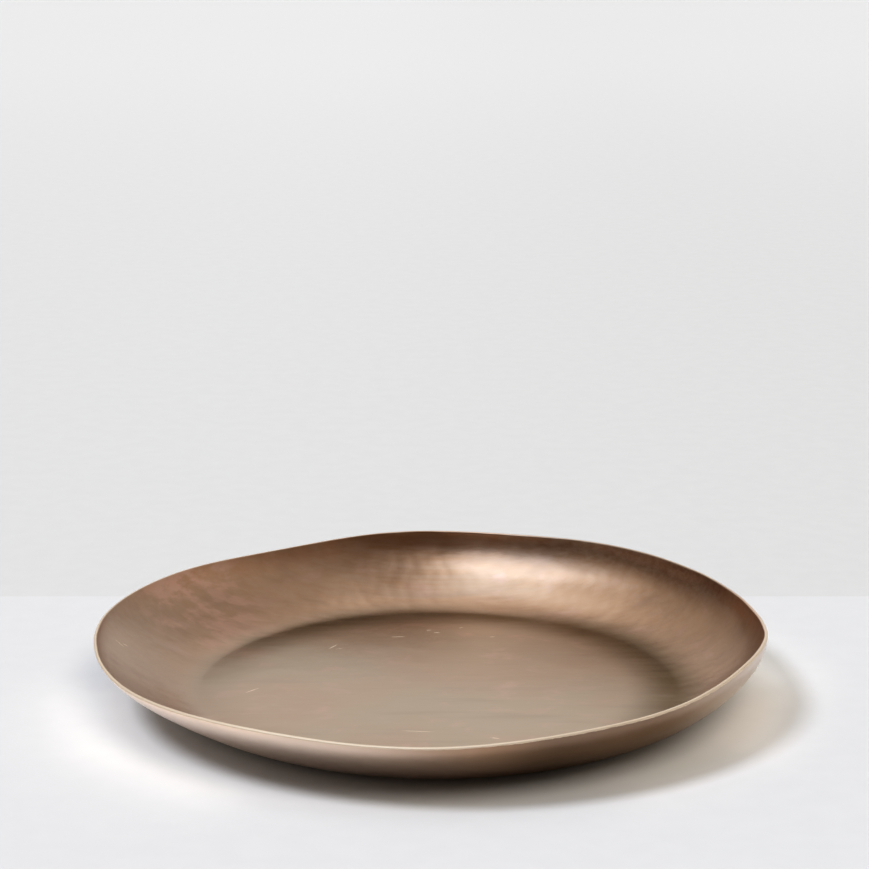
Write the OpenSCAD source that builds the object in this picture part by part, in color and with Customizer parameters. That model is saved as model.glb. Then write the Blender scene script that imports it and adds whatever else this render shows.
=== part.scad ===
// Hammered copper tray: one round sheet raised into a flat floor and a curved wall.
// Millimetres, +Z up. The origin is the centre of the flat resting face, on the table.
// Directions are degrees from +X, counter-clockwise seen from above. The front is at 270.

/* [Rim] */
// Mean diameter across the rim, on the middle of the sheet's edge
rim_d = 400; // [360:1:480]
// Mean height of the rim's edge above the table
rim_h = 41; // [30:1:60]
// Shift of the rim's centre to the right of the floor's centre
rim_shift_x = -4.5; // [-8:0.5:8]
// Shift of the rim's centre to the back of the floor's centre
rim_shift_y = 0.5; // [-8:0.5:8]
// How much of the hand-made unevenness the tray has: 0 is a true, level circle
unevenness = 1; // [0:0.05:1.2]

/* [Floor] */
// Diameter of the flat resting face
floor_d = 288; // [240:1:300]

/* [Sheet] */
// Thickness of the copper sheet
sheet_t = 2; // [1:0.1:3]

/* [Wall] */
// Mean angle of the wall at the rim, above the horizontal
rim_angle = 80; // [60:1:80]
// How far the wall stays flat at its foot, as a share of its width
foot_pull = 0.25; // [0.15:0.05:0.6]
// How far the wall stays steep below the rim, as a share of its height
rim_pull = 0.5; // [0.4:0.05:0.6]

/* [Hidden] */

// Swells around the tray: [how many crests, height of a crest, direction of a crest]
plan_swells = [[2, 0.7, 34]];
height_swells = [
    [1, 3.3, 30], [2, 0.3, 162], [3, 1.2, 77], [4, 1.2, 66], [5, 0.7, 35],
    [6, 0.6, 42], [7, 0.6, 35], [8, 0.3, 15], [9, 0.3, 18]
];
// The wall stands steepest on the right and is fullest on the back right
angle_swells = [[1, 10, 0]];
pull_swells = [[1, 0.3, 57]];

// Smoothness of the wall: columns around the tray, and steps up the wall
columns = 120;
steps = 10;
floor_facets = 180;

floor_r = floor_d / 2;
rim_shift = [rim_shift_x, rim_shift_y];
// The floor disc and the foot of the wall run into each other over this width
foot_lap = 6;

function total(list) = list * [for (item = list) 1];
function swell(swells, a) =
    unevenness * total([for (s = swells) s[1] * cos(s[0] * (a - s[2]))]);
function heading(a) = [cos(a), sin(a)];

// Middle of the sheet's edge in plan, in direction a from the rim's centre
function rim_plan(a) = rim_shift + (rim_d / 2 + swell(plan_swells, a)) * heading(a);

// Cubic curve through four control points, and the direction in which it runs
function curve(p, t) =
    pow(1 - t, 3) * p[0] + 3 * pow(1 - t, 2) * t * p[1]
    + 3 * (1 - t) * pow(t, 2) * p[2] + pow(t, 3) * p[3];
function curve_run(p, t) =
    pow(1 - t, 2) * (p[1] - p[0]) + 2 * (1 - t) * t * (p[2] - p[1]) + pow(t, 2) * (p[3] - p[2]);

// Control points of the wall's outer face, as [distance out from the foot, height]:
// w wide, h high, at this angle at the rim and steep over this share of its height
function wall_controls(w, h, angle, pull) = [
    [0, 0],
    [foot_pull * w, 0],
    [w - pull * h / tan(angle), h - pull * h],
    [w, h]
];
// Unit normal of the wall, pointing into the tray
function inward(run) = [-run[1], run[0]] / norm(run);

// Closed section through the wall: out along the foot's lap, up the outer face and down the inner
function wall_section(p) =
    let (
        outer = [for (i = [0 : steps]) curve(p, i / steps)],
        inner = [for (i = [0 : steps]) outer[i] + sheet_t * inward(curve_run(p, i / steps))]
    )
    concat(
        [[-foot_lap, 0]], outer,
        [for (i = [steps : -1 : 0]) inner[i]], [[-foot_lap, sheet_t]]
    );

// The section set up in direction a: it leans from the foot to the rim above it
function wall_column(a) =
    let (
        foot = floor_r * heading(a),
        lean = rim_plan(a) - foot,
        outward = lean / norm(lean),
        controls = wall_controls(
            norm(lean) + sheet_t / 2, rim_h + swell(height_swells, a),
            rim_angle + swell(angle_swells, a), rim_pull + swell(pull_swells, a)
        )
    )
    [for (q = wall_section(controls))
        [foot[0] + q[0] * outward[0], foot[1] + q[0] * outward[1], q[1]]];

module wall_ring() {
    rows = len(wall_column(0));
    function corner(column, row) = (column % columns) * rows + row % rows;
    polyhedron(
        points = [for (c = [0 : columns - 1]) each wall_column(360 * c / columns)],
        faces = [for (c = [0 : columns - 1], r = [0 : rows - 1]) each [
            [corner(c, r), corner(c, r + 1), corner(c + 1, r + 1)],
            [corner(c, r), corner(c + 1, r + 1), corner(c + 1, r)]
        ]]
    );
}

// The sheet: a flat floor disc that runs into the raised wall
module tray() {
    color([0.62, 0.44, 0.32]) {
        cylinder(r = floor_r - foot_lap / 2, h = sheet_t, $fn = floor_facets);
        wall_ring();
    }
}

tray();
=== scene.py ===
# Hammered copper tray: the looks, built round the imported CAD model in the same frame.
# Metres, +Z up, origin at the centre of the resting face. The front faces -Y.
import math
from types import SimpleNamespace

import bpy
import numpy as np
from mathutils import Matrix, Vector


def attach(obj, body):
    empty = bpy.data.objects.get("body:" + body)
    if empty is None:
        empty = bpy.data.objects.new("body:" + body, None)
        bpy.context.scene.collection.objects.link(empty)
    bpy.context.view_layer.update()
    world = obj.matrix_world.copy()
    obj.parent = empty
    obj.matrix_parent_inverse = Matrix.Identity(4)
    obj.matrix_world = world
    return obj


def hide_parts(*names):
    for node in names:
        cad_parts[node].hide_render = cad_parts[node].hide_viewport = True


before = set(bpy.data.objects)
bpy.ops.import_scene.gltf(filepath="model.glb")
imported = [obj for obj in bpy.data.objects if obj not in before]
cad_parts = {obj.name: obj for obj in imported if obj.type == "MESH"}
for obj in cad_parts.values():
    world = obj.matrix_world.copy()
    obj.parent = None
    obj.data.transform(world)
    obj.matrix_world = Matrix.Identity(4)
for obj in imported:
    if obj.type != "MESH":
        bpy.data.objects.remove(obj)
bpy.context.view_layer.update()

# ---------------------------------------------------------------- the tray's form, in mm
# The same sizes and formulas as the CAD model.
MM = 0.001
RIM_R, RIM_H = 200.0, 41.0
RIM_SHIFT = (-4.5, 0.5)
FLOOR_R = 144.0
SHEET = 2.0
RIM_ANGLE, FOOT_PULL, RIM_PULL = 80.0, 0.25, 0.5
PLAN_SWELLS = ((2, 0.7, 34),)
HEIGHT_SWELLS = (
    (1, 3.3, 30), (2, 0.3, 162), (3, 1.2, 77), (4, 1.2, 66), (5, 0.7, 35),
    (6, 0.6, 42), (7, 0.6, 35), (8, 0.3, 15), (9, 0.3, 18),
)
ANGLE_SWELLS = ((1, 10, 0),)
PULL_SWELLS = ((1, 0.3, 57),)

# Only the visible sheet has these.
WALL_RUN = 60.0      # about how far it is up the wall, from foot to rim
UNDER_RISE = 0.2     # how far the middle of the underside is off the table
EDGE_ROUND = 0.6     # how far the filed edge rounds over

# Mesh density. The wall's last rows stand closer together, at these shares of the way up.
COLUMNS = 600
FLOOR_ROWS, WALL_ROWS, EDGE_ROWS, UNDER_ROWS = 50, 44, 7, 8
ROWS_BELOW_EDGE = (0.95, 0.97, 0.982)

# The hammer's work on the sheet.
SEED = 11
MARK_GAP_WALL, MARK_GAP_FLOOR = 9.5, 17.0
MARK_SWEEP_WALL, MARK_SWEEP_FLOOR = 190.0, 900.0   # radius of the dents' curve
MARK_SWEEP_RANGE = (0.8, 1.3)   # how much that radius differs from dent to dent
MARK_STRAY = 0.28    # how far a dent may lie from its even place, as a share of the gap
MARK_SOFT = 0.02     # how much the ridges between dents are smoothed
MARK_UNEVEN = 0.015  # how much the dents' depths differ
WALL_MARKS_FROM = 0.35   # how far up the wall its own dents have replaced the floor's
SHOW_THROUGH = 0.35  # how much of the inside's dents shows on the outside
RIPPLE_WALL, RIPPLE_FLOOR = 0.09, 0.03
RIPPLE_COUNT, RIPPLE_SHORTEST, RIPPLE_LONGEST = 40, 22, 60


def swell(swells, a):
    """The sum of the slow swells round the tray at the angles a, in degrees."""
    return sum(size * np.cos(np.radians(k * (a - at))) for k, size, at in swells)


def bezier(p, t):
    """The curve with controls p (columns, 4, 2) at the values t."""
    t = t[None, :, None]
    s = 1 - t
    p = p[:, None]
    return (s**3 * p[:, :, 0] + 3 * s * s * t * p[:, :, 1] + 3 * s * t * t * p[:, :, 2]
            + t**3 * p[:, :, 3])


def bezier_run(p, t):
    """The curve's unit direction."""
    t = t[None, :, None]
    s = 1 - t
    p = p[:, None]
    d = (s * s * (p[:, :, 1] - p[:, :, 0]) + 2 * s * t * (p[:, :, 2] - p[:, :, 1])
         + t * t * (p[:, :, 3] - p[:, :, 2]))
    return d / np.linalg.norm(d, axis=-1, keepdims=True)


def ripple(points, rng):
    """Soft random waves of about unit size over the points."""
    total = np.zeros(points.shape[:-1])
    for _ in range(RIPPLE_COUNT):
        way = rng.normal(size=3)
        length = rng.uniform(RIPPLE_SHORTEST, RIPPLE_LONGEST)
        way *= 2 * math.pi / (np.linalg.norm(way) * length)
        total += np.sin(points @ way + rng.uniform(0, 2 * math.pi))
    return total / math.sqrt(RIPPLE_COUNT / 2)


def hammer_marks(points, wallness, rng):
    """The dents' middles, the radius of each one's curve and how far each is raised."""
    centres, sweeps, raises = [], [], []
    steps = np.linalg.norm(np.diff(points, axis=0), axis=-1).mean(axis=1)
    path = np.r_[0, np.cumsum(steps)]
    at = 0.0
    while at < path[-1]:
        row = int(np.abs(path - at).argmin())
        zone = wallness[row]
        gap = MARK_GAP_FLOOR + (MARK_GAP_WALL - MARK_GAP_FLOOR) * zone
        sweep = 1 / (zone / MARK_SWEEP_WALL + (1 - zone) / MARK_SWEEP_FLOOR)
        round_r = np.linalg.norm(points[row, :, :2], axis=-1).mean()
        count = max(1, round(2 * math.pi * round_r / gap))
        start = rng.uniform(0, 1)
        for i in range(count):
            stray = rng.uniform(-MARK_STRAY, MARK_STRAY)
            column = int((i + start + stray) / count * COLUMNS) % COLUMNS
            near = at + rng.uniform(-MARK_STRAY, MARK_STRAY) * gap
            centres.append(points[int(np.abs(path - near).argmin()), column])
            sweeps.append(sweep * rng.uniform(*MARK_SWEEP_RANGE))
            raises.append(rng.normal(0, MARK_UNEVEN))
        at += gap
    return np.array(centres), np.array(sweeps), np.array(raises)


def hammer_field(points, wallness, rng):
    """How high each point of the sheet stands, with the hammer's overlapping dents."""
    centres, sweeps, raises = hammer_marks(points, wallness, rng)
    field = np.empty(points.shape[:-1])
    for row, line in enumerate(points):
        apart = ((line[:, None] - centres[None]) ** 2).sum(axis=-1)
        height = apart / (2 * sweeps) + raises * np.minimum(1, 1.2 * MARK_SWEEP_WALL / sweeps)
        least = height.min(axis=1, keepdims=True)
        soft = np.log(np.exp((least - height) / MARK_SOFT).sum(axis=1))
        field[row] = least[:, 0] - MARK_SOFT * soft
    return field - field.mean(axis=1, keepdims=True)


def wall_controls(a, reach):
    """The wall's outer face at the angles a: control points, as distance out and height."""
    w = reach + SHEET / 2
    h = RIM_H + swell(HEIGHT_SWELLS, a)
    angle = np.radians(RIM_ANGLE + swell(ANGLE_SWELLS, a))
    pull = RIM_PULL + swell(PULL_SWELLS, a)
    zero = np.zeros_like(w)
    return np.stack([
        np.stack([zero, zero], -1),
        np.stack([FOOT_PULL * w, zero], -1),
        np.stack([w - pull * h / np.tan(angle), h - pull * h], -1),
        np.stack([w, h], -1),
    ], axis=1)


def rings(radii, heading):
    """Flat rings of points about the origin."""
    points = np.zeros((len(radii), COLUMNS, 3))
    points[..., :2] = radii[:, None, None] * heading[None]
    return points


def tray_grid():
    """The closed sheet as rows of points, what the material needs to know about each row, and
    the height of the floor's middle.

    The rows run from the middle of the floor up the inside, over the edge, down the outside
    and back under.
    """
    rng = np.random.default_rng(SEED)
    a = np.arange(COLUMNS) * 360.0 / COLUMNS
    heading = np.stack([np.cos(np.radians(a)), np.sin(np.radians(a))], axis=-1)
    foot = FLOOR_R * heading
    lean = np.array(RIM_SHIFT) + (RIM_R + swell(PLAN_SWELLS, a))[:, None] * heading - foot
    reach = np.linalg.norm(lean, axis=-1)
    outward = lean / reach[:, None]
    controls = wall_controls(a, reach)

    t_end = 1 - EDGE_ROUND / WALL_RUN
    even, *closer = ROWS_BELOW_EDGE
    t = np.r_[np.linspace(0, even, WALL_ROWS - len(ROWS_BELOW_EDGE)), closer, t_end]
    outer = bezier(controls, t)
    run = bezier_run(controls, t)
    inward = np.stack([-run[..., 1], run[..., 0]], -1)

    def place(q):
        """Points (rows, columns, 3) from distances out from the foot and up."""
        flat = foot[:, None] + q[..., :1] * outward[:, None]
        return np.concatenate([flat, q[..., 1:]], -1).transpose(1, 0, 2)

    floor_r = np.linspace(0, FLOOR_R, FLOOR_ROWS + 1)[1:-1]
    floor = rings(floor_r, heading)
    floor[..., 2] = SHEET

    # The sheet's movement is worked out once, on its upper side.
    smooth = np.concatenate([floor, place(outer + SHEET * inward)])
    on_floor = np.zeros(len(floor_r))
    field = hammer_field(smooth, np.r_[on_floor, np.clip(t / WALL_MARKS_FROM, 0, 1)], rng)
    size = RIPPLE_FLOOR + (RIPPLE_WALL - RIPPLE_FLOOR) * np.clip(np.r_[on_floor, t], 0, 1)
    field += size[:, None] * ripple(smooth, rng)
    floor[..., 2] += field[:len(floor_r)]
    lift = field[len(floor_r):].T[..., None] * inward
    outer = outer + SHOW_THROUGH * lift
    # Underneath, the sheet never goes below the table.
    outer[..., 1] = np.maximum(outer[..., 1], 0)
    inner = bezier(controls, t) + lift + SHEET * inward

    turn = np.linspace(0, math.pi, EDGE_ROWS + 2)[1:-1]
    middle = (inner[:, -1] + outer[:, -1]) / 2
    edge = (middle[:, None] + SHEET / 2 * np.cos(turn)[None, :, None] * inward[:, -1:]
            + EDGE_ROUND * np.sin(turn)[None, :, None] * run[:, -1:])

    under_r = np.linspace(FLOOR_R, 0, UNDER_ROWS + 1)[1:-1]
    under = rings(under_r, heading)
    under[..., 2] = UNDER_RISE * (1 - (under_r / FLOOR_R) ** 2)[:, None]

    rows = np.concatenate([floor, place(inner), place(edge), place(outer)[::-1], under])
    below = (t_end - t) * WALL_RUN
    on_edge, beneath = np.zeros(EDGE_ROWS), np.zeros(len(under_r))
    facts = {
        "edge_depth": [on_floor + WALL_RUN, below, on_edge, -below[::-1], beneath - WALL_RUN],
        "wall": [on_floor, t, on_edge + 1, t[::-1], beneath],
        "side": [on_floor, 0 * t, np.linspace(0, 1, EDGE_ROWS), 0 * t + 1, beneath + 1],
    }
    facts = {name: np.concatenate(parts) for name, parts in facts.items()}
    return rows, facts, SHEET + field[0].mean()


def build_tray():
    rows, facts, centre_z = tray_grid()
    count = len(rows)
    points = rows.reshape(-1, 3)
    top, bottom = len(points), len(points) + 1
    points = np.concatenate([points, [[0, 0, centre_z], [0, 0, UNDER_RISE]]]) * MM
    here = np.arange(COLUMNS)
    beyond = (here + 1) % COLUMNS
    faces = []
    for row in range(count - 1):
        low, high = row * COLUMNS, (row + 1) * COLUMNS
        quads = np.stack([low + here, high + here, high + beyond, low + beyond], -1)
        faces.extend(quads.tolist())
    last = (count - 1) * COLUMNS
    faces.extend(np.stack([np.full(COLUMNS, top), here, beyond], -1).tolist())
    faces.extend(np.stack([last + here, np.full(COLUMNS, bottom), last + beyond], -1).tolist())
    mesh = bpy.data.meshes.new("tray_sheet")
    mesh.from_pydata(points.tolist(), [], faces)
    for name, values in facts.items():
        data = np.r_[np.repeat(values, COLUMNS), values[0], values[-1]].astype(np.float32)
        mesh.attributes.new(name, "FLOAT", "POINT").data.foreach_set("value", data)
    mesh.shade_smooth()
    mesh.validate()
    tray = bpy.data.objects.new("tray_sheet", mesh)
    bpy.context.scene.collection.objects.link(tray)
    return tray


# ---------------------------------------------------------------- materials
class Graph:
    """A short way to write a node tree."""

    def __init__(self, tree):
        self.tree = tree
        tree.nodes.clear()

    def add(self, kind, inputs=(), **settings):
        node = self.tree.nodes.new(kind)
        for name, value in settings.items():
            setattr(node, name, value)
        for name, value in dict(inputs).items():
            socket = node.inputs[name]
            if isinstance(value, bpy.types.NodeSocket):
                self.tree.links.new(value, socket)
            else:
                socket.default_value = value
        return node

    def math(self, operation, a, b=0.5, clamp=False):
        node = self.add("ShaderNodeMath", {0: a, 1: b}, operation=operation, use_clamp=clamp)
        return node.outputs[0]

    def times(self, first, *others):
        """The product of them all."""
        for other in others:
            first = self.math("MULTIPLY", first, other)
        return first

    def measure(self, operation, a, b=(0.0, 0.0, 0.0)):
        """One number from one or two vectors: LENGTH, DISTANCE or DOT_PRODUCT."""
        node = self.add("ShaderNodeVectorMath", {0: a, 1: b}, operation=operation)
        return node.outputs["Value"]

    def ramp(self, value, low, high, to_low=0.0, to_high=1.0):
        """value from low to high, eased, as to_low to to_high."""
        return self.add(
            "ShaderNodeMapRange",
            {"Value": value, 1: low, 2: high, 3: to_low, 4: to_high},
            interpolation_type="SMOOTHSTEP",
        ).outputs[0]

    def mix(self, factor, a, b):
        return self.add("ShaderNodeMix", {0: factor, 6: a, 7: b}, data_type="RGBA").outputs[2]

    def stretched(self, place, scale):
        return self.add("ShaderNodeMapping", {"Vector": place, "Scale": scale}).outputs[0]

    def noise(self, place, scale, detail=3.0, rough=0.55, warp=0.0):
        return self.add("ShaderNodeTexNoise", {
            "Vector": place, "Scale": scale, "Detail": detail, "Roughness": rough, "Distortion": warp,
        }).outputs["Fac"]

    def attribute(self, name):
        return self.add("ShaderNodeAttribute", attribute_name=name).outputs["Fac"]

    def object_place(self):
        return self.add("ShaderNodeTexCoord").outputs["Object"]


def rgb(r, g, b):
    return (r, g, b, 1.0)


# Nicks and scratches in the patina, in mm on the tray seen from above: middle x, y, length,
# width, heading.
SCRATCHES = (
    (-67, 74, 9, 0.8, 60),
    (-63, 70, 5, 0.6, 20),
    (-26, 94, 8, 1.0, 4),
    (-6, 108, 3, 1.0, 15),
    (-1, 103, 4, 0.8, -5),
    (15, 113, 3, 0.8, 30),
    (35, 94, 3, 0.8, 10),
    (-112, -9, 10, 0.9, 48),
    (-12, -79, 16, 0.7, -6),
    (32, -90, 5, 1.0, -20),
    (-193, 3, 5, 0.7, -6),
    (-190, 7, 3, 0.6, 30),
)
BACK_RIGHT = (0.5, 0.87, 0.0)
ROSY_MIDDLE = (-0.150, 0.100, 0.030)
# The middle of a patch of painted shade high on the back wall.
PAINTED_BACK_SHADE_MIDDLE = (-0.022, 0.190, 0.036)


def read_sheet(g):
    """What the finish and the painted shade depend on at each point, and the masks that more than one
    layer uses.
    """
    at = SimpleNamespace(place=g.object_place())
    at.wall = g.attribute("wall")          # 0 on the floor, and up the wall to 1 at the rim
    at.depth = g.attribute("edge_depth")   # mm below the edge inside, and minus that outside
    at.side = g.attribute("side")          # 0 inside, 1 outside
    at.reach = g.measure("LENGTH", g.stretched(at.place, (1, 1, 0)))
    at.across = g.add("ShaderNodeSeparateXYZ", {0: at.place}).outputs[0]
    at.lean = g.measure("DOT_PRODUCT", at.place, BACK_RIGHT)
    at.clouds = g.noise(g.stretched(at.place, (1, 1.6, 1.6)), 13, 4, 0.6, 0.4)
    at.patches = g.noise(g.stretched(at.place, (1, 1.5, 2)), 38, 4, 0.6, 0.3)
    at.lines = g.noise(g.stretched(at.place, (16, 300, 300)), 1, 4, 0.6)

    at.inner = g.ramp(at.side, 0.4, 0.1)
    at.outer = g.ramp(at.side, 0.5, 0.9)
    at.inside_edge = g.ramp(at.side, 0.1, 0.6, 1.0, 0.0)
    at.floorness = g.ramp(at.wall, 0.0, 0.35, 1.0, 0.0)
    # Painted shade: the back of the floor darker and browner.
    at.shade = g.times(at.floorness, g.ramp(at.lean, -0.04, 0.10, 0.0, 0.31))
    at.near_rim = g.times(g.ramp(at.wall, 0.72, 1.0), at.inside_edge)
    # Painted shade in the crease round the floor, most of all at the back and the right.
    up_to = g.ramp(at.across, 0.04, 0.13, 0.20, 0.42)
    at.corner = g.times(
        g.ramp(at.wall, up_to, 0.0), g.ramp(at.reach, 0.110, 0.143),
        g.ramp(at.lean, -0.07, 0.06, 0.15, 1.0), g.ramp(at.clouds, 0.30, 0.62, 0.55, 0.80), at.inner,
    )
    # Painted shade: the browner front right of the outside.
    at.brown = g.times(at.outer, g.ramp(at.across, 0.0, 0.06), g.ramp(at.across, 0.18, 0.12))
    return at


def patina(g, at):
    """Brown copper with pink and olive patches, with painted shade at the back of the floor and in a
    patchy, darker and redder band under the rim.
    """
    smudge = g.noise(at.place, 9, 2, 0.5)
    olive = g.times(at.floorness, g.ramp(smudge, 0.35, 0.65, 0.35, 1.0))
    # Painted shade: a darker, redder band under the rim inside, broken up by the patches.
    dark = g.times(at.near_rim, g.ramp(at.patches, 0.62, 0.40, 0.1, 0.5))
    colour = g.mix(g.ramp(at.clouds, 0.38, 0.66), rgb(0.40, 0.232, 0.133), rgb(0.465, 0.275, 0.16))
    colour = g.mix(olive, colour, rgb(0.385, 0.288, 0.187))
    colour = g.mix(at.shade, colour, rgb(0.24, 0.145, 0.08))
    colour = g.mix(g.ramp(at.patches, 0.52, 0.72, 0.0, 0.60), colour, rgb(0.50, 0.295, 0.215))
    return g.mix(dark, colour, rgb(0.42, 0.17, 0.08))


def painted_shade(g, at, colour):
    """Painted shade: dark in the crease round the floor and in a band under the rim at the back
    right.
    """
    painted_rim_shade = g.times(
        g.ramp(at.wall, 0.72, 0.95), g.ramp(at.lean, 0.13, 0.165),
        g.ramp(at.across, 0.02, 0.09, 0.0, 0.8), at.inside_edge,
    )
    colour = g.mix(at.corner, colour, rgb(0.175, 0.128, 0.078))
    return g.mix(painted_rim_shade, colour, rgb(0.10, 0.055, 0.03))


def inside_patches_and_shade(g, at, colour):
    """Painted shade low down on the left, a rosy patch behind that, and a patch of painted shade high
    at the back.
    """
    # Painted shade: darker and more olive low down on the left, inside.
    painted_left_shade = g.times(at.inner, g.ramp(at.across, -0.11, -0.18), g.ramp(at.lean, 0.03, -0.06, 0.0, 0.45))
    streaks = g.noise(g.stretched(at.place, (14, 60, 110)), 1, 3, 0.6)
    from_rosy = g.measure("DISTANCE", at.place, ROSY_MIDDLE)
    rosy = g.times(at.inner, g.ramp(from_rosy, 0.070, 0.02), g.ramp(streaks, 0.42, 0.62, 0.0, 0.55))
    # Painted shade: a dark patch high on the back wall, above the highlight.
    from_painted_back_shade = g.measure("DISTANCE", at.place, PAINTED_BACK_SHADE_MIDDLE)
    painted_back_shade = g.times(at.inner, g.ramp(from_painted_back_shade, 0.058, 0.018, 0.0, 0.76))
    colour = g.mix(painted_left_shade, colour, rgb(0.25, 0.19, 0.135))
    colour = g.mix(rosy, colour, rgb(0.66, 0.37, 0.28))
    return g.mix(painted_back_shade, colour, rgb(0.25, 0.115, 0.048))


def outside_painted_light(g, at, colour):
    """Painted reflection, paler and pinker on the left and paler again on the far right, and painted
    shade, browner on the front right.
    """
    left = g.times(at.outer, g.ramp(at.across, 0.03, -0.08, 0.0, 0.96))
    right = g.times(at.outer, g.ramp(at.across, 0.015, 0.065, 0.0, 0.88))
    far_right = g.times(at.outer, g.ramp(at.across, 0.11, 0.18, 0.0, 0.85))
    colour = g.mix(left, colour, rgb(0.98, 0.77, 0.62))
    colour = g.mix(right, colour, rgb(0.205, 0.128, 0.084))
    return g.mix(far_right, colour, rgb(0.64, 0.49, 0.37))


def brushing(g, at, colour):
    """Fine pale lines and broader dark ones along X, faint on the outside."""
    broad = g.noise(g.stretched(at.place, (9, 70, 70)), 1, 3, 0.6)
    shown = g.ramp(at.side, 0.4, 0.6, 1.0, 0.2)
    pale = g.times(g.ramp(at.lines, 0.3, 0.7, 0.0, 0.16), shown)
    dark = g.times(g.ramp(broad, 0.5, 0.75, 0.0, 0.28), shown)
    colour = g.mix(pale, colour, rgb(0.50, 0.37, 0.27))
    return g.mix(dark, colour, rgb(0.26, 0.165, 0.11))


def scratches(g, at):
    marks = None
    for x, y, length, width, heading in SCRATCHES:
        local = g.add("ShaderNodeMapping", {
            "Vector": at.place,
            "Location": (x * MM, y * MM, 0),
            "Rotation": (0, 0, math.radians(heading)),
            "Scale": (length / 2 * MM, width / 2 * MM, 1),
        }, vector_type="TEXTURE").outputs[0]
        mark = g.ramp(g.measure("LENGTH", local), 1.4, 0.7)
        marks = mark if marks is None else g.math("MAXIMUM", marks, mark)
    broken = g.noise(at.place, 900, 2)
    return g.times(marks, g.ramp(broken, 0.32, 0.46), at.inner)


def filed_edge(g, at):
    """The bare edge, with a ragged lower border on the outside, and painted shade that makes it
    dimmer at the back.
    """
    ragged = g.noise(at.place, 260, 3)
    worn = g.math("ADD", at.depth, g.times(g.math("SUBTRACT", ragged, 0.5), 1.6))
    return g.times(
        g.ramp(at.depth, 0.2, 0.0), g.ramp(worn, -1.0, -0.3),
        # Painted shade: less of the bare edge shows at the back.
        g.ramp(at.lean, 0.08, 0.15, 1.0, 0.4), g.ramp(at.side, 0.05, 0.3, 0.25, 1.0),
    )


def relief(g, at):
    """The grain and the small unevenness that are too fine for the mesh."""
    grain = g.noise(at.place, 1400, 2)
    fine = g.math("ADD", at.lines, g.times(grain, 0.35))
    uneven = g.noise(g.stretched(at.place, (1, 2.2, 2.2)), 110, 3, 0.55)
    strength = g.ramp(at.side, 0.4, 0.6, 0.04, 0.004)
    bump = g.add("ShaderNodeBump", {"Strength": strength, "Distance": 0.0004, "Height": fine})
    strength = g.ramp(at.side, 0.4, 0.6, 0.06, 0.0)
    bump = g.add("ShaderNodeBump", {
        "Strength": strength, "Distance": 0.0012, "Height": uneven, "Normal": bump.outputs[0],
    })
    return bump.outputs[0]


def copper():
    material = bpy.data.materials.new("copper_patina")
    material.use_nodes = True
    g = Graph(material.node_tree)
    at = read_sheet(g)

    colour = patina(g, at)
    for layer in (painted_shade, inside_patches_and_shade, outside_painted_light, brushing):
        colour = layer(g, at, colour)
    bare = g.math("MAXIMUM", filed_edge(g, at), scratches(g, at))
    colour = g.mix(bare, colour, rgb(0.85, 0.69, 0.51))

    rough = g.ramp(at.clouds, 0.3, 0.7, 0.288, 0.320)
    rough = g.math("ADD", rough, g.ramp(at.lines, 0.3, 0.7, -0.010, 0.015))
    rough = g.math("ADD", rough, g.times(bare, 0.38))

    # The zones of painted shade have less gloss, and tint what they reflect at a grazing angle.
    coat = g.ramp(at.wall, 0.0, 0.3, 0.56, 0.34)
    for zone, loss in ((at.corner, 0.32), (at.shade, 0.35), (at.near_rim, 0.20), (at.brown, 0.18)):
        coat = g.math("SUBTRACT", coat, g.times(zone, loss), clamp=True)
    tint = g.mix(at.shade, rgb(1, 1, 1), rgb(0.55, 0.42, 0.30))
    tint = g.mix(at.corner, tint, rgb(0.16, 0.11, 0.07))
    tint = g.mix(at.brown, tint, rgb(0.62, 0.52, 0.43))
    shader = g.add("ShaderNodeBsdfPrincipled", {
        "Base Color": colour, "Metallic": 1.0, "Roughness": rough, "Normal": relief(g, at),
        "Specular Tint": tint, "Coat Weight": coat, "Coat Roughness": 0.26,
    })
    g.add("ShaderNodeOutputMaterial", {"Surface": shader.outputs[0]})
    return material


def paper(name, colour, far_colour):
    """Pale paper, very slightly uneven, with painted light: a little darker to the right and lighter
    far back.
    """
    material = bpy.data.materials.new(name)
    material.use_nodes = True
    g = Graph(material.node_tree)
    place = g.object_place()
    across, away = g.add("ShaderNodeSeparateXYZ", {0: place}).outputs[:2]
    # Painted light: darker towards the right, and lighter further back.
    tone = g.mix(g.ramp(across, -0.35, 0.5), colour, far_colour)
    tone = g.mix(g.ramp(away, 0.3, 6.0, 0.0, 0.4), tone, rgb(0.34, 0.34, 0.344))
    tone = g.mix(g.ramp(g.noise(place, 60, 4), 0.3, 0.7, 0.0, 0.03), tone, rgb(0.5, 0.5, 0.5))
    shader = g.add("ShaderNodeBsdfDiffuse", {"Color": tone, "Roughness": 0.3})
    g.add("ShaderNodeOutputMaterial", {"Surface": shader.outputs[0]})
    return material


# ---------------------------------------------------------------- stage and light
SEAM_Y = 0.190        # where the table gives way to the backdrop
STAGE = 30.0
STAGE_Z = -0.0002     # just clear of the tray's underside


def flat_sheet(name, x0, y0, x1, y1, z, material):
    mesh = bpy.data.meshes.new(name)
    mesh.from_pydata([(x0, y0, z), (x1, y0, z), (x1, y1, z), (x0, y1, z)], [], [(0, 1, 2, 3)])
    sheet = bpy.data.objects.new(name, mesh)
    mesh.materials.append(material)
    bpy.context.scene.collection.objects.link(sheet)
    return sheet


def build_stage():
    table = flat_sheet("table", -STAGE, -STAGE, STAGE, SEAM_Y, STAGE_Z,
                       paper("table_paper", rgb(0.30, 0.302, 0.309), rgb(0.288, 0.290, 0.295)))
    back = flat_sheet("backdrop", -STAGE, SEAM_Y, STAGE, STAGE, STAGE_Z,
                      paper("backdrop_paper", rgb(0.281, 0.283, 0.284), rgb(0.268, 0.268, 0.267)))
    return table, back


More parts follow.
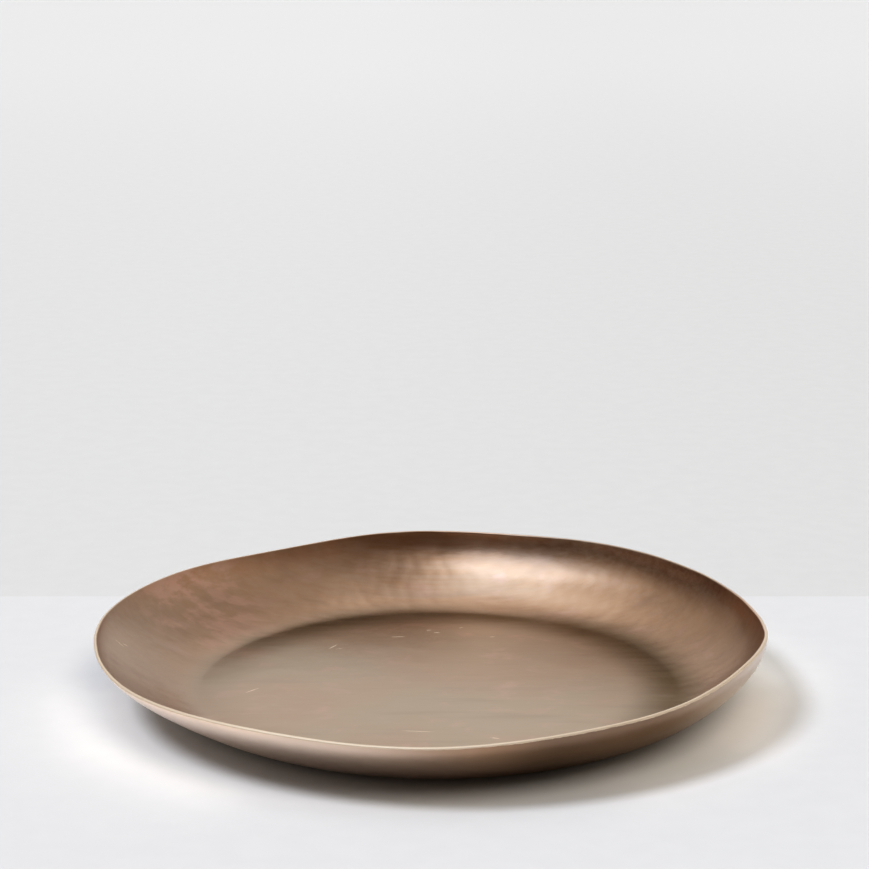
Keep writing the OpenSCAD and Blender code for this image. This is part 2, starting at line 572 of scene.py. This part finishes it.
# Soft lights, each with its direction, spread in degrees, power and colour. Three are on the
# paper: from the left, from the front right and, weakest, from above. The metal has one of its
# own between the first two, so that its highlight stays in one piece.
SOFTBOXES = (
    ("softbox_left", "paper", (-0.525, -0.215, 0.823), 18.0, 4.95, (0.955, 0.99, 1.065)),
    ("softbox_front", "paper", (0.33, -0.51, 0.795), 32.0, 2.65, (1.0, 0.91, 0.78)),
    ("softbox_top", "paper", (0.10, -0.10, 0.99), 60.0, 0.40, (1.0, 0.96, 0.91)),
    ("softbox_metal", "metal", (-0.38, -0.41, 0.83), 46.0, 0.95, (0.70, 0.99, 1.42)),
)
# What the tray's outside throws back on to the paper beside it, which the lamps on the paper alone
# leave out: short strips under the rim, each with its heading round the tray, how far it tips
# inward, power and colour.
GLOW_R, GLOW_Z = 0.205, 0.030
GLOW_SIZE = (0.11, 0.016)
GLOWS = (
    ("glow_front_right", -44, 30, 0.009, (1.0, 0.80, 0.58)),
    ("glow_right_near", -16, 34, 0.023, (1.0, 0.83, 0.65)),
    ("glow_right", 16, 20, 0.028, (1.0, 0.95, 0.86)),
    ("glow_left", 196, -5, 0.016, (1.0, 0.90, 0.78)),
    ("glow_front_left", 224, -14, 0.015, (1.0, 0.89, 0.75)),
)
OPEN_WAY = (0.0, 1.0, 0.35)     # the room opens this way and is dark behind the camera
# The pale things in the room: which way, how near to that way each starts and is full (as the
# cosine of the angle off it), and how bright.
ROOM_LIGHTS = (
    ((0.03, 0.97, 0.24), 0.86, 0.98, 0.45),    # the lit middle of the backdrop
    ((0.90, 0.35, 0.26), 0.70, 0.95, 0.11),    # a pale wall on the right
    ((0.76, -0.40, 0.52), 0.75, 0.97, 0.10),   # and less of it, nearer
    ((-0.72, -0.38, 0.58), 0.82, 0.97, 0.44),  # the left softbox's glow
)


def light_only(lamp, receivers):
    lit = bpy.data.collections.new(lamp.name + "_lights")
    for o in receivers:
        lit.objects.link(o)
    lamp.light_linking.receiver_collection = lit


def soft_light(name, receivers, way, spread, power, colour):
    light = bpy.data.lights.new(name, "SUN")
    light.energy = power
    light.angle = math.radians(spread)
    light.color = colour
    lamp = bpy.data.objects.new(name, light)
    lamp.rotation_mode = "QUATERNION"
    lamp.rotation_quaternion = Vector(way).to_track_quat("Z", "Y")
    bpy.context.scene.collection.objects.link(lamp)
    light_only(lamp, receivers)


def glow(name, receivers, heading, tip, power, colour):
    """A strip under the rim, facing down on to the paper."""
    light = bpy.data.lights.new(name, "AREA")
    light.shape = "RECTANGLE"
    light.size, light.size_y = GLOW_SIZE
    light.energy = power
    light.color = colour
    lamp = bpy.data.objects.new(name, light)
    a = math.radians(heading)
    shift_x, shift_y = RIM_SHIFT
    lamp.location = (
        GLOW_R * math.cos(a) + shift_x * MM, GLOW_R * math.sin(a) + shift_y * MM, GLOW_Z,
    )
    lamp.rotation_euler = (math.radians(tip), 0, a + math.pi / 2)
    lamp.visible_camera = False
    bpy.context.scene.collection.objects.link(lamp)
    light_only(lamp, receivers)


def room_colour(g):
    """The room that the metal mirrors: pale above and behind the tray, dark behind the camera."""
    way = g.add("ShaderNodeTexCoord").outputs["Generated"]
    x, _, z = g.add("ShaderNodeSeparateXYZ", {0: way}).outputs

    def dimmed(light, zone, share):
        return g.times(light, g.math("SUBTRACT", 1.0, g.times(zone, share)))

    left = g.times(g.ramp(x, -0.25, -0.8), g.ramp(z, 0.62, 0.3))
    right = g.times(g.ramp(x, 0.08, 0.42), g.ramp(z, 0.5, 0.8))
    light = g.times(g.ramp(g.measure("DOT_PRODUCT", way, OPEN_WAY), -0.75, 0.6), 0.50)
    light = dimmed(light, left, 0.45)
    light = dimmed(light, right, 0.12)
    for there, low, high, power in ROOM_LIGHTS:
        near = g.ramp(g.measure("DOT_PRODUCT", way, there), low, high)
        light = g.math("ADD", light, g.times(near, power))
    ceiling = g.times(
        g.ramp(x, 0.19, -0.01), g.ramp(x, -0.60, -0.12, 0.35, 1.0), g.ramp(z, 0.62, 0.84),
    )
    light = g.math("ADD", light, ceiling)
    room = g.mix(light, rgb(0.155, 0.11, 0.075), rgb(1.0, 0.965, 0.92))
    room.node.clamp_factor = False
    skylight = g.times(g.ramp(x, 0.08, -0.05), g.ramp(x, -0.43, -0.14), g.ramp(z, 0.82, 0.95))
    return g.mix(skylight, room, rgb(2.05, 2.55, 3.15))


def build_world():
    """The room for reflections and light, and a plain pale background for the camera."""
    world = bpy.data.worlds.new("studio")
    bpy.context.scene.world = world
    world.use_nodes = True
    g = Graph(world.node_tree)
    studio = g.add("ShaderNodeBackground", {"Color": room_colour(g), "Strength": 1.0})
    plain = g.add("ShaderNodeBackground", {"Color": rgb(0.86, 0.86, 0.855), "Strength": 1.0})
    seen = g.add("ShaderNodeLightPath").outputs["Is Camera Ray"]
    both = g.add("ShaderNodeMixShader", {0: seen, 1: studio.outputs[0], 2: plain.outputs[0]})
    g.add("ShaderNodeOutputWorld", {"Surface": both.outputs[0]})


def build_lights(tray, papers):
    for name, on, way, spread, power, colour in SOFTBOXES:
        soft_light(name, papers if on == "paper" else [tray], way, spread, power, colour)
    for name, *how in GLOWS:
        glow(name, papers, *how)
    build_world()


CAMERA_PLACE = (-0.00235, -1.3204, 0.4652)
CAMERA_TILT = 76.91   # degrees up from looking straight down
CAMERA_LENS, CAMERA_SENSOR = 95.0, 36.0


def build_camera():
    camera = bpy.data.cameras.new("camera")
    camera.lens = CAMERA_LENS
    camera.sensor_width = CAMERA_SENSOR
    holder = bpy.data.objects.new("camera", camera)
    holder.location = CAMERA_PLACE
    holder.rotation_euler = (math.radians(CAMERA_TILT), 0, 0)
    bpy.context.scene.collection.objects.link(holder)
    bpy.context.scene.camera = holder


tray = build_tray()
tray.data.materials.append(copper())
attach(tray, "root")
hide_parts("tray")
papers = build_stage()
build_lights(tray, papers)
build_camera()
bpy.context.scene.view_settings.view_transform = "Standard"
